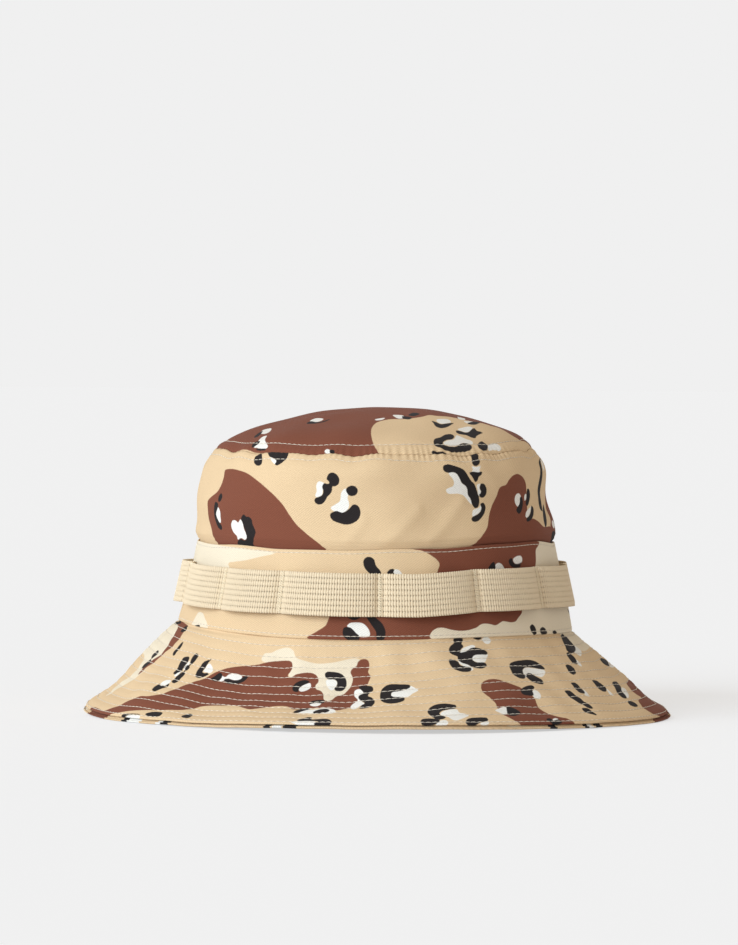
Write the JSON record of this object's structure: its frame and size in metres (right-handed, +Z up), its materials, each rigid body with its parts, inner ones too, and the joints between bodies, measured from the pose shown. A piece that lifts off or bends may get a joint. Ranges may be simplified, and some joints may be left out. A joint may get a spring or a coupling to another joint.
{
  "type": "boonie hat",
  "caption": "Boonie hat of desert camouflage cotton with a webbing of branch loops round the crown and a stiff row-stitched brim.",
  "frame": {"origin": "on the surface the brim stands on, in the middle of the oval", "axes": "+Z up through the crown, -Y towards the front of the hat, +X towards the wearer's left"},
  "size_m": [0.279, 0.2934, 0.1452],
  "materials": {
    "camouflage_twill": "matt printed cotton twill",
    "loop_webbing": "matt woven cotton tape",
    "sweatband_cotton": "matt plain cotton",
    "interlining": "matt stiff interlining",
    "seam_tape": "matt woven cotton tape",
    "thread": "matt sewing thread"
  },
  "bodies": {
    "root": {"crown_tip": "camouflage_twill", "crown_side": "camouflage_twill", "crown_band": "camouflage_twill", "loop_webbing": "loop_webbing", "loop_tack_01": "thread", "loop_tack_02": "thread", "loop_tack_03": "thread", "loop_tack_04": "thread", "loop_tack_05": "thread", "loop_tack_06": "thread", "loop_tack_07": "thread", "loop_tack_08": "thread", "loop_tack_09": "thread", "loop_tack_10": "thread", "loop_tack_11": "thread", "loop_tack_12": "thread", "loop_tack_13": "thread", "brim_top": "camouflage_twill", "brim_interlining": "interlining", "brim_underside": "camouflage_twill", "sweatband": "sweatband_cotton", "tip_seam_tape": "seam_tape", "back_seam_tape": "seam_tape"}
  },
  "joints": []
}
